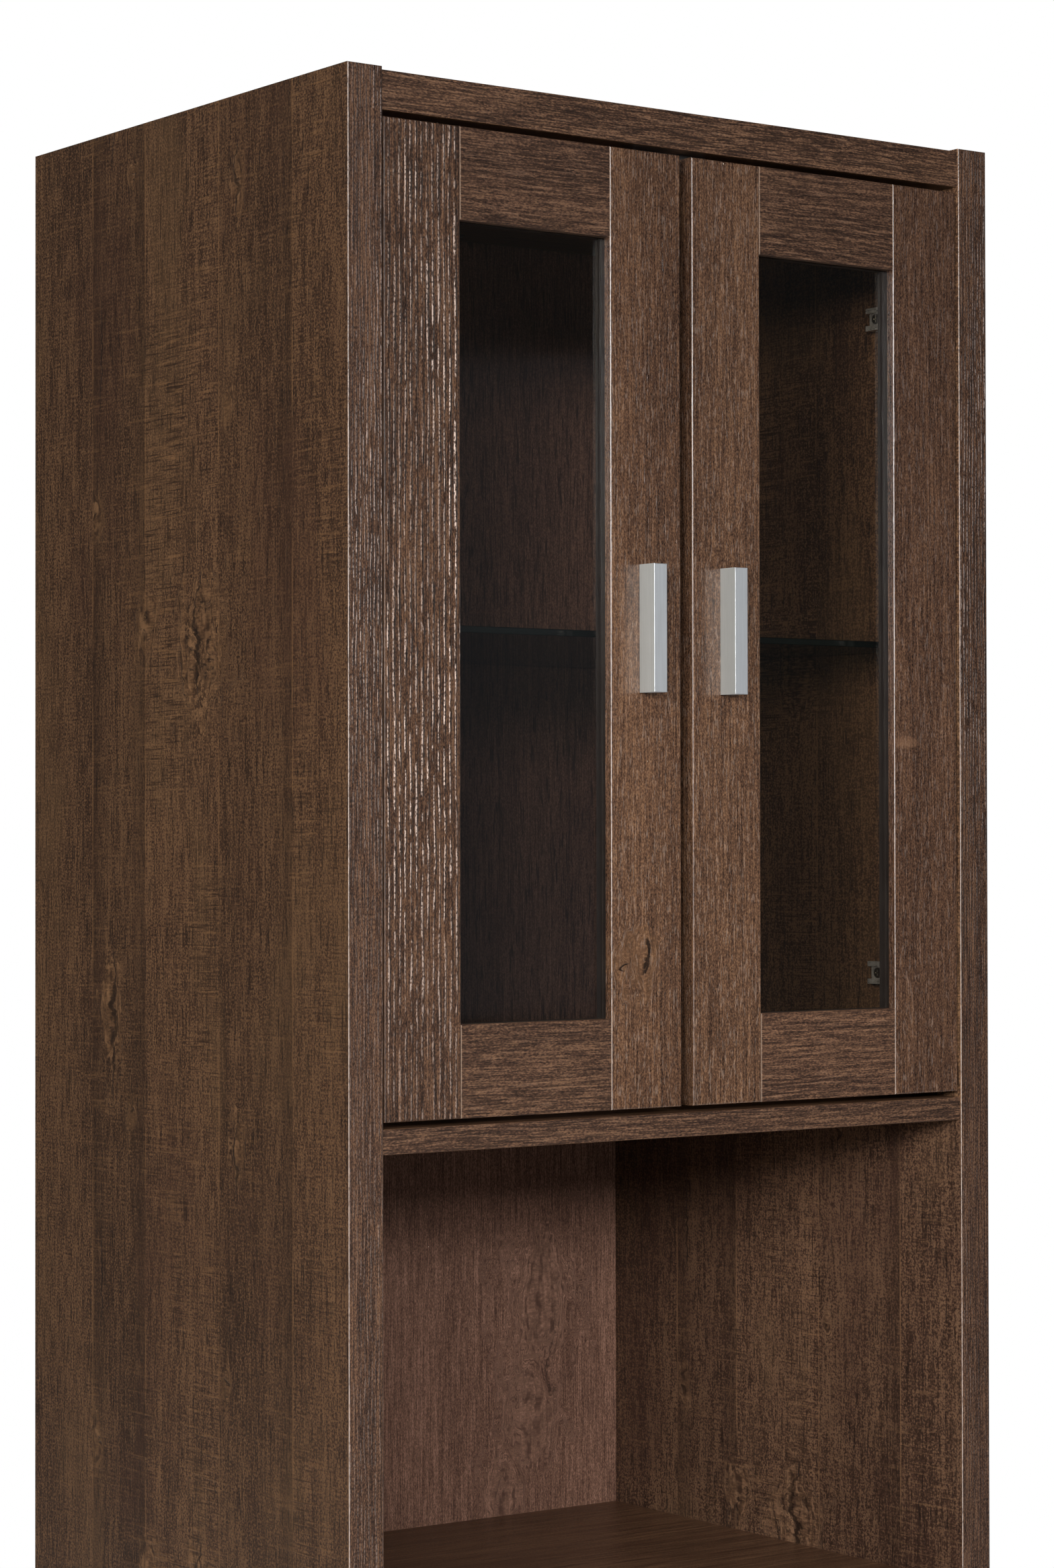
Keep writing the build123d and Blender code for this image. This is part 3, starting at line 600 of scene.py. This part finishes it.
# ---- wooden materials
def side_decor():
    """Side panels: planed boards on the faces, brushed front edges, bare rear edges."""
    shade = Shade("side_decor")
    shade.across, shade.depth = shade.y, shade.x
    inward = shade.step(shade.times(shade.nx, shade.math("SIGN", shade.x)), -0.6, -0.8)
    behind_glass = shade.times(inward, shade.step(shade.z, display_low.z, display_high.z))
    face = planed_boards(shade, behind_glass)
    # painted light: the faces that look into the cabinet are lit up, most behind the glass near
    # the front and less in the niche
    painted_light_inside = shade.tint(face[0], 1.42, 1.50, 1.66)
    near_front = shade.times(behind_glass, shade.step(shade.y, -0.03, -0.17))
    painted_light_inside = tint_where(shade, near_front, painted_light_inside, 1.40, 1.38, 1.34)
    niche_side = shade.step(shade.z, display_high.z, display_low.z)
    painted_light_inside = tint_where(shade, niche_side, painted_light_inside, 0.88, 0.88, 0.95)
    face = (shade.mix(inward, face[0], painted_light_inside), *face[1:])
    fresh(shade)
    post = brushed_lines(shade, 0.0030, 0.50, 31)
    # painted shade: the left post darker towards the top
    left_post = painted_top_shade(shade, post[0], 1.30, 1.72, 0.80)
    right_post = shade.tint(post[0], 0.82, 0.82, 0.84)
    post = (shade.mix(shade.step(shade.x, -0.1, 0.1), left_post, right_post), *post[1:])
    front = shade.step(shade.ny, *film_front)
    # painted highlight along the rounded upright edges
    look = painted_edge_highlight(shade, combine(shade, front, face, post), 0.62)
    ends = shade.step(shade.ny, *rear_facing)
    under = shade.step(shade.nz, -0.6, -0.8)
    look = combine(shade, shade.most((ends, under)), look, raw_chipboard(shade))
    return finish_wood(shade, look, 0.00035)


def brushed_stile_decor():
    """The left doors' hinge stiles: brushed in front, plain at the edges."""
    shade = Shade("brushed_stile_decor")
    brushed = brushed_lines(shade, 0.0048, 1.0, 0.0, 6.5)
    fresh(shade)
    plain = wavy_grain(shade, 5)
    look = combine(shade, shade.step(shade.ny, *film_front), plain, brushed)
    look = (shade.tint(look[0], 0.86, 0.84, 0.82), *look[1:])
    # painted highlight along the rounded upright edges
    return finish_wood(shade, painted_edge_highlight(shade, look, 0.5, True), 0.0004)


def plain_stile_decor():
    """All other stiles: calm wavy grain, with one knot and one pale patch."""
    shade = Shade("plain_stile_decor")
    knots = ((-0.040, 1.172, 0.020, 0.034), (-0.064, 1.170, 0.013, 0.018))
    eyes = (
        ((-0.0405, 1.1755, 0.0055, 0.0120), 1, 0.13),
        ((-0.0410, 1.1670, 0.0050, 0.0065), 1, 0.16),
        ((-0.0570, 1.1660, 0.0070, 0.0030), -1, 0.10),
    )
    colour, height, _ = wavy_grain(shade, 11, knots, eyes)
    # the lock stiles are lighter than the hinge stiles, the right door's lock stile most
    outer = shade.step(shade.absolute(shade.x), 0.14, 0.16)
    left_lock = shade.tint(colour, 1.29, 1.28, 1.20)
    right_lock = shade.tint(colour, 1.37, 1.38, 1.30)
    lock = shade.mix(shade.step(shade.x, -0.01, 0.01), left_lock, right_lock)
    # painted shade towards the top of the stiles
    colour = painted_top_shade(shade, shade.mix(outer, lock, colour), 1.24, 1.70, 0.78)
    # this film is smoother: it mirrors the handles faintly
    drift = shade.noise(shade.place, 160.0, 3.0, 0.6)
    roughness = shade.times_plus(drift, 0.12, 0.19)
    right_hinge = shade.step(shade.x, 0.16, 0.18)
    colour = tint_where(shade, right_hinge, colour, 1.04, 1.03, 1.01)
    # a level pale patch halfway up the right door's hinge stile
    aside, ahead = shade.offsets(shade.x, shade.z, 0.216, 1.334, 0.016, 0.006)
    far = shade.times_plus(aside, aside, shade.times(ahead, ahead))
    pale = shade.times(shade.step(far, 1.0, 0.1), shade.times_plus(drift, 0.5, -0.02))
    colour = shade.mix(pale, colour, srgb(148, 112, 86))
    look = (colour, height, roughness)
    # painted highlight along the rounded upright edges
    return finish_wood(shade, painted_edge_highlight(shade, look, 0.42, True), 0.00012, 0.50)


def rail_decor():
    """Level rails: short dashes, and pale chips at the joints with the stiles."""
    shade = Shade("rail_decor")
    shade.lay_along_x()
    colour, height, roughness = short_dashes(shade, 0.6, 3)
    # painted shade towards the top of the rails
    colour = painted_top_shade(shade, colour, 1.40, 1.60, 0.86)
    low_right = shade.times(shade.step(shade.x, -0.01, 0.01), shade.step(shade.z, 1.5, 1.3))
    colour = tint_where(shade, low_right, colour, 1.16, 1.15, 1.15)
    # a thin ragged pale line along the butt joints at both ends
    outward = shade.absolute(shade.x)
    inner_joint = shade.off(outward, rail_low.x + rail_shoulder)
    outer_joint = shade.off(outward, rail_high.x - rail_shoulder)
    away = shade.math("MINIMUM", inner_joint, outer_joint)
    ragged = shade.times(shade.noise(shade.place, 700.0, 2.0, 0.7), 0.0009)
    pale_joint_line = shade.step(shade.math("SUBTRACT", away, ragged), -0.0001, 0.0002, 1.0, 0.0)
    colour = shade.mix(shade.times(pale_joint_line, 0.50), colour, srgb(180, 154, 134))
    return finish_wood(shade, (colour, height, roughness), 0.0003)


def board_decor():
    """Level boards: wavy dashes on the front edge, calm darker grain on the faces."""
    shade = Shade("board_decor")
    shade.lay_along_x()
    edge = short_dashes(shade, 0.75, 17)
    shade.across, shade.depth, shade.along = shade.y, shade.z, shade.x
    shade.wander(0.010)
    colour, thread = fibres(shade, walnut_dark, walnut_middle, walnut_light, 23)
    colour = shade.tint(colour, 1.42, 1.46, 1.60)
    pore = shade.step(shade.grain(260, 9, 3.0, 0.62, shift=27), 0.48, 0.34)
    colour = shade.mix(shade.times(pore, 0.55), colour, walnut_dark)
    streak = shade.step(shade.grain(60, 2.2, 3.0, 0.6, shift=33), 0.44, 0.62, 0.0, 0.35)
    colour = shade.mix(streak, colour, srgb(66, 42, 30))
    face = (colour, thread, shade.times_plus(thread, 0.10, 0.30))
    look = combine(shade, shade.step(shade.ny, *front_facing), face, edge)
    look = combine(shade, shade.step(shade.ny, *rear_facing), look, raw_chipboard(shade))
    return finish_wood(shade, look, 0.0003)


def back_panel_decor():
    """Thin back panel: printed upright grain in front, bare pressed board behind."""
    shade = Shade("back_panel_decor")
    places = (
        (0.188, 0.858, 0.050, 0.085),
        (0.176, 0.764, 0.045, 0.070),
        (0.146, 0.700, 0.030, 0.045),
        (-0.070, 0.960, 0.022, 0.040),
        (-0.120, 1.380, 0.026, 0.050),
        (0.100, 1.560, 0.020, 0.036),
    )
    near = shade.knots(places, shade.along)
    shade.wander(0.014, 8, 1.4)
    dark, middle, light = srgb(65, 43, 34), srgb(101, 73, 59), srgb(137, 103, 87)
    colour, thread = fibres(shade, dark, middle, light, 41, back_weights)
    rings = swirl(shade, near, 0.0040, 47)
    colour = shade.mix(shade.step(near, 0.1, 0.9, 0.0, 0.25), colour, srgb(140, 106, 88))
    colour = shade.mix(shade.times(rings, 0.75), colour, dark)
    mark = shade.grain(120, 46, 3.0, 0.65, 1.4, shift=44)
    heart = shade.times(shade.step(near, 0.50, 0.90), shade.step(mark, 0.52, 0.60))
    split = crack(shade, 0.192, 0.800, 0.060, 0.0014, shade.along, 3)
    marks = shade.most((shade.times(heart, 0.5), split))
    colour = shade.mix(shade.times(marks, 0.45), colour, ink)
    # behind the glass the pores are drawn stronger, standing in for the sheen on the film's grain
    # there, and painted shade darkens the panel, most low down below the glass shelf
    pore = shade.step(shade.grain(620, 50, 2.0, shift=46), 0.46, 0.32)
    pore_strength = shade.step(shade.z, display_low.z, display_high.z, 0.38, 0.95)
    colour = shade.mix(shade.times(pore, pore_strength), colour, srgb(52, 34, 27))
    # painted shade behind the glass, deepest below the shelf
    unshaded_share = shade.step(shade.z, 1.20, 1.46, 0.56, 0.84)
    behind_glass = shade.step(shade.z, display_low.z, display_high.z)
    colour = shade.mix(shade.times(behind_glass, shade.one_minus(unshaded_share)), colour, ink)
    printed = (colour, thread, shade.times_plus(thread, 0.12, 0.50))
    felt = shade.noise(shade.place, 900.0, 3.0, 0.7)
    blotch = shade.step(shade.noise(shade.place, 6.0, 4.0, 0.62), 0.36, 0.64)
    bare = shade.ramp(felt, [(0.3, srgb(92, 66, 46)), (0.7, srgb(132, 100, 72))])
    bare = shade.mix(shade.times(blotch, 0.42), bare, srgb(80, 57, 40))
    chip = shade.step(shade.noise(shade.place, 130.0, 4.0, 0.75), 0.54, 0.68)
    bare = shade.mix(shade.times(chip, 0.5), bare, srgb(158, 126, 94))
    look = combine(shade, shade.step(shade.ny, 0.2, 0.6), printed, (bare, felt, 0.75))
    return finish_wood(shade, look, 0.0002)


def panel_decor():
    """The lower doors' solid panels: upright grain with two knots."""
    shade = Shade("panel_decor")
    near = shade.knots(((-0.165, 0.420, 0.020, 0.045), (0.130, 0.300, 0.022, 0.050)), shade.along)
    shade.wander(0.014, 10, 1.8)
    colour, thread = fibres(shade, front_dark, front_middle, front_light, 61)
    rings = swirl(shade, near, 0.0040, 62)
    colour = shade.mix(shade.step(near, 0.0, 0.6, 0.0, 0.35), colour, walnut_gold)
    colour = shade.mix(shade.times(rings, 0.5), colour, front_dark)
    mark = shade.grain(150, 60, 3.0, 0.65, 1.6, shift=64)
    heart = shade.times(shade.step(near, 0.50, 0.90), shade.step(mark, 0.50, 0.58))
    colour = shade.mix(shade.times(heart, 0.85), colour, ink)
    pore = shade.step(shade.grain(1300, 40, 1.0, shift=66), 0.40, 0.30)
    colour = shade.mix(shade.times(pore, 0.45), colour, ink)
    height = shade.plus(shade.times(thread, 0.4), shade.times(pore, -0.5))
    roughness = shade.times_plus(thread, 0.14, 0.44)
    return finish_wood(shade, (colour, height, roughness), 0.0003)


def beech_dowel():
    shade = Shade("beech")
    shade.lay_along_x()
    streak = shade.grain(700, 40, 3.0, 0.6)
    colour = shade.ramp(streak, [(0.3, srgb(176, 132, 88)), (0.7, srgb(214, 176, 128))])
    return shade.surface(colour, 0.7, shade.bump(streak, 0.0002), Specular_IOR_Level=0.3)


# ---- glass
def clear_glass(shade, see_through, head_on, **gloss):
    """See-through, and a mirror at a flat angle; head_on is how much it mirrors face on."""
    facing = shade.node("ShaderNodeLayerWeight").outputs["Facing"]
    mirror = shade.times_plus(shade.math("POWER", facing, 5.0), 0.95, head_on)
    clear = shade.simple_shader("Transparent", Color=see_through)
    return shade.blend(mirror, clear, shade.simple_shader("Glossy", **gloss))


def pane_glass():
    """Clear safety glass, a little grey, with a few specks of dust."""
    shade = Shade("pane_glass")
    smear = shade.noise(shade.place, 7.0, 4.0, 0.6)
    roughness = shade.step(smear, 0.35, 0.75, 0.03, 0.09)
    white = (1.0, 1.0, 1.0, 1.0)
    clean = clear_glass(shade, (0.85, 0.84, 0.82, 1.0), 0.030, Color=white, Roughness=roughness)
    distance, randoms = shade.cells(shade.place, 60.0)
    near = shade.step(distance, 0.012, 0.022, 1.0, 0.0)
    few = shade.step(randoms[1], 0.93, 0.94)
    dust = shade.simple_shader("Diffuse", Color=(0.75, 0.75, 0.72, 1.0))
    return shade.finish(shade.blend(shade.times(shade.times(near, few), 0.7), clean, dust))


def shelf_glass():
    """Thick float glass: clear through its faces, deep green through its edges."""
    shade = Shade("shelf_glass")
    face = clear_glass(shade, (0.86, 0.92, 0.89, 1.0), 0.040, Roughness=0.02)
    ripple = shade.noise(shade.stretched(900, 30))
    colour = shade.ramp(ripple, [(0.3, srgb(3, 8, 7)), (0.7, srgb(9, 19, 16))])
    edge = shade.simple_shader("Principled", **{"Base Color": colour, "Roughness": 0.12})
    cut = shade.step(shade.absolute(shade.nz), 0.9, 0.7)
    return shade.finish(shade.blend(cut, face, edge))


# ---- metal and plastic
plating_relief = 0.00003


def handle_aluminium():
    """Satin anodised aluminium, drawn along its length."""
    shade = Shade("handle_aluminium")
    drawn = shade.grain(2600, 24, 3.0, 0.7)
    cloud = shade.noise(shade.place, 60.0, 3.0, 0.5)
    colour = shade.ramp(drawn, [(0.3, srgb(164, 166, 167)), (0.7, srgb(182, 184, 186))])
    colour = shade.mix(shade.times(cloud, 0.2), colour, srgb(158, 159, 159))
    # painted reflection: the two narrow faces are tinted warm and the front cool
    aside = shade.step(shade.absolute(shade.nx), 0.6, 0.8)
    warm = shade.tint(colour, 1.10, 1.09, 1.02)
    cool = shade.tint(colour, 0.93, 0.95, 0.98)
    colour = shade.mix(aside, cool, warm)
    roughness = shade.times_plus(drawn, 0.14, shade.times_plus(cloud, 0.10, 0.34))
    normal = shade.bump(drawn, 0.00004)
    return shade.surface(colour, roughness, normal, Metallic=0.50, Anisotropic=0.35)


def plain_metal(name, dark, light, roughness, metallic=1.0):
    """Plated steel with cloudy plating and fine scratches along Y."""
    shade = Shade(name)
    cloud = shade.noise(shade.place, 180.0, 4.0, 0.6)
    thin_x, thin_z = shade.times(shade.x, 900), shade.times(shade.z, 900)
    scuff = shade.noise(shade.vector(thin_x, shade.times(shade.y, 90), thin_z))
    colour = shade.ramp(cloud, [(0.3, dark), (0.7, light)])
    rough = shade.times_plus(scuff, 0.16, shade.times_plus(cloud, 0.12, roughness - 0.14))
    return shade.surface(colour, rough, shade.bump(scuff, plating_relief), Metallic=metallic)


def zinc_plating():
    """Yellowish-grey zinc with a faint crystal pattern."""
    shade = Shade("zinc")
    crystal = shade.cells(shade.place, 260.0)[1][0]
    colour = shade.ramp(crystal, [(0.1, srgb(140, 138, 132)), (0.9, srgb(176, 174, 168))])
    rough = shade.times_plus(crystal, 0.16, 0.34)
    return shade.surface(colour, rough, shade.bump(crystal, plating_relief), Metallic=0.95)


def moulded_plastic(name, dark, light):
    """Moulded plastic with a fine sparked skin."""
    shade = Shade(name)
    skin = shade.noise(shade.place, 2400.0, 2.0, 0.6)
    cloud = shade.noise(shade.place, 45.0, 3.0, 0.5)
    colour = shade.ramp(cloud, [(0.3, dark), (0.7, light)])
    rough = shade.times_plus(skin, 0.20, 0.40)
    return shade.surface(colour, rough, shade.bump(skin, 0.00006), Specular_IOR_Level=0.4)


# ---- give every CAD node its material
decor = {
    "side": side_decor(),
    "brushed": brushed_stile_decor(),
    "stile": plain_stile_decor(),
    "rail": rail_decor(),
    "board": board_decor(),
    "back": back_panel_decor(),
    "panel": panel_decor(),
}
handle_metal = handle_aluminium()
hinge_metal = plain_metal("hinge_steel", srgb(150, 144, 135), srgb(206, 200, 190), 0.30, 0.55)
fitting_metal = plain_metal("fitting_steel", srgb(128, 126, 122), srgb(170, 168, 164), 0.38)
screw_metal = plain_metal("screw_steel", srgb(120, 114, 104), srgb(166, 160, 148), 0.36)
zinc = zinc_plating()
beech = beech_dowel()
bead_plastic = moulded_plastic("bead_plastic", srgb(46, 40, 38), srgb(60, 54, 51))
dark_plastic = moulded_plastic("dark_plastic", srgb(26, 24, 23), srgb(38, 36, 34))
clear_pane = pane_glass()
clear_shelf = shelf_glass()

carcass_materials = {
    "side_panel_left": decor["side"],
    "side_panel_right": decor["side"],
    "top_panel": decor["board"],
    "display_floor": decor["board"],
    "niche_floor": decor["board"],
    "bottom_panel": decor["board"],
    "lower_shelf": decor["board"],
    "plinth_board": decor["board"],
    "back_panel_upper": decor["back"],
    "back_panel_lower": decor["back"],
    "glass_shelf": clear_shelf,
    "shelf_pins": zinc,
    "hinge_plates": hinge_metal,
    "hinge_arms": hinge_metal,
    "fitting_screws": screw_metal,
    "cam_locks": zinc,
    "cam_bolts": fitting_metal,
    "dowels": beech,
    "floor_glides": dark_plastic,
    "back_panel_screws": screw_metal,
    "wall_brackets": fitting_metal,
    "door_stops": dark_plastic,
}
door_materials = {
    "lock_stile": decor["stile"],
    "top_rail": decor["rail"],
    "bottom_rail": decor["rail"],
    "handle": handle_metal,
    "hinge_cups": hinge_metal,
    "hinge_pins": hinge_metal,
    "door_screws": screw_metal,
    "glass": clear_pane,
    "glazing_beads": bead_plastic,
    "panel": decor["panel"],
}
for name, piece in nodes.items():
    kind = name.split("_", 2)[-1]  # a door's piece is named level_side_kind
    if name in carcass_materials:
        chosen = carcass_materials[name]
    elif kind == "hinge_stile":
        chosen = decor["brushed"] if "_left_" in name else decor["stile"]
    else:
        chosen = door_materials[kind]
    for slot in piece.material_slots:
        slot.material = chosen

# ---- floor, light and camera
target = Vector((0.0, -0.1, 1.15))
floor_radius = 3.0
floor_sides = 96
angles = [full_turn * turn / floor_sides for turn in range(floor_sides)]
rim = [(floor_radius * math.cos(angle), floor_radius * math.sin(angle), 0.0) for angle in angles]
floor_mesh = bpy.data.meshes.new("floor")
floor_mesh.from_pydata(rim, [], [tuple(range(floor_sides))])
floor = bpy.data.objects.new("floor", floor_mesh)
bpy.context.scene.collection.objects.link(floor)
floor_shade = Shade("floor_pale")
floor_tone = floor_shade.noise(floor_shade.place, 5.0, 3.0, 0.5)
floor_stops = [(0.3, (0.80, 0.79, 0.78, 1.0)), (0.7, (0.83, 0.82, 0.81, 1.0))]
floor_colour = floor_shade.ramp(floor_tone, floor_stops)
floor_mesh.materials.append(floor_shade.surface(floor_colour, 0.8, Specular_IOR_Level=0.2))


def softbox(name, place, size, power, aim=target, spread=math.pi, colour=(1.0, 1.0, 1.0)):
    """An area light of size (width, height) and power in watts, turned towards aim."""
    light = bpy.data.lights.new(name, "AREA")
    light.shape = "RECTANGLE"
    light.size, light.size_y = size
    light.energy = power
    light.spread = spread
    light.color = colour
    lamp = bpy.data.objects.new(name, light)
    lamp.location = place
    lamp.rotation_euler = (Vector(aim) - Vector(place)).to_track_quat("-Z", "Y").to_euler()
    lamp.visible_camera = False
    bpy.context.scene.collection.objects.link(lamp)


softbox("key", (-3.1, -2.8, 2.0), (2.0, 0.8), 150.0)
softbox("fill", (-0.9, -4.2, 2.05), (1.8, 0.6), 22.0, (0.0, 0.0, 0.55), math.radians(80))
softbox("window_glow", (2.55, -4.0, 1.55), (0.9, 1.3), 0.42, colour=(0.78, 0.84, 1.0))
softbox("overhead", (0.0, 1.4, 3.9), (2.6, 2.6), 60.0, (0.0, 0.6, 0.0))
softbox("back", (2.6, 3.6, 1.9), (2.0, 2.0), 70.0)

# The camera sees a white backdrop; the object is lit by a dim one and mirrors a darker one.
warm_white, pure_white = (1.0, 0.98, 0.96, 1.0), (1.0, 1.0, 1.0, 1.0)
world = bpy.data.worlds.new("studio")
bpy.context.scene.world = world
world.use_nodes = True
sky = world.node_tree.nodes
sky.clear()
connect = world.node_tree.links.new


def backdrop(colour, strength):
    made = sky.new("ShaderNodeBackground")
    made.inputs["Color"].default_value = colour
    made.inputs["Strength"].default_value = strength
    return made.outputs[0]


path = sky.new("ShaderNodeLightPath")
last = backdrop(warm_white, 0.16)
for ray, seen in (
    ("Is Glossy Ray", backdrop(warm_white, 0.07)),
    ("Is Camera Ray", backdrop(pure_white, 1.0)),
):
    choose = sky.new("ShaderNodeMixShader")
    for socket, source in zip(choose.inputs, (path.outputs[ray], last, seen)):
        connect(source, socket)
    last = choose.outputs[0]
connect(last, sky.new("ShaderNodeOutputWorld").inputs[0])
bpy.context.scene.view_settings.view_transform = "Standard"

camera_data = bpy.data.cameras.new("camera")
camera_data.lens = 85.75
camera_data.sensor_width = 36.0
camera_data.clip_start = 0.05
camera_data.clip_end = 60.0
camera = bpy.data.objects.new("camera", camera_data)
camera.location = (-1.7177, -2.3796, 1.2628)
camera.rotation_euler = (math.radians(90.784), math.radians(0.093), math.radians(-35.984))
bpy.context.scene.collection.objects.link(camera)
bpy.context.scene.camera = camera
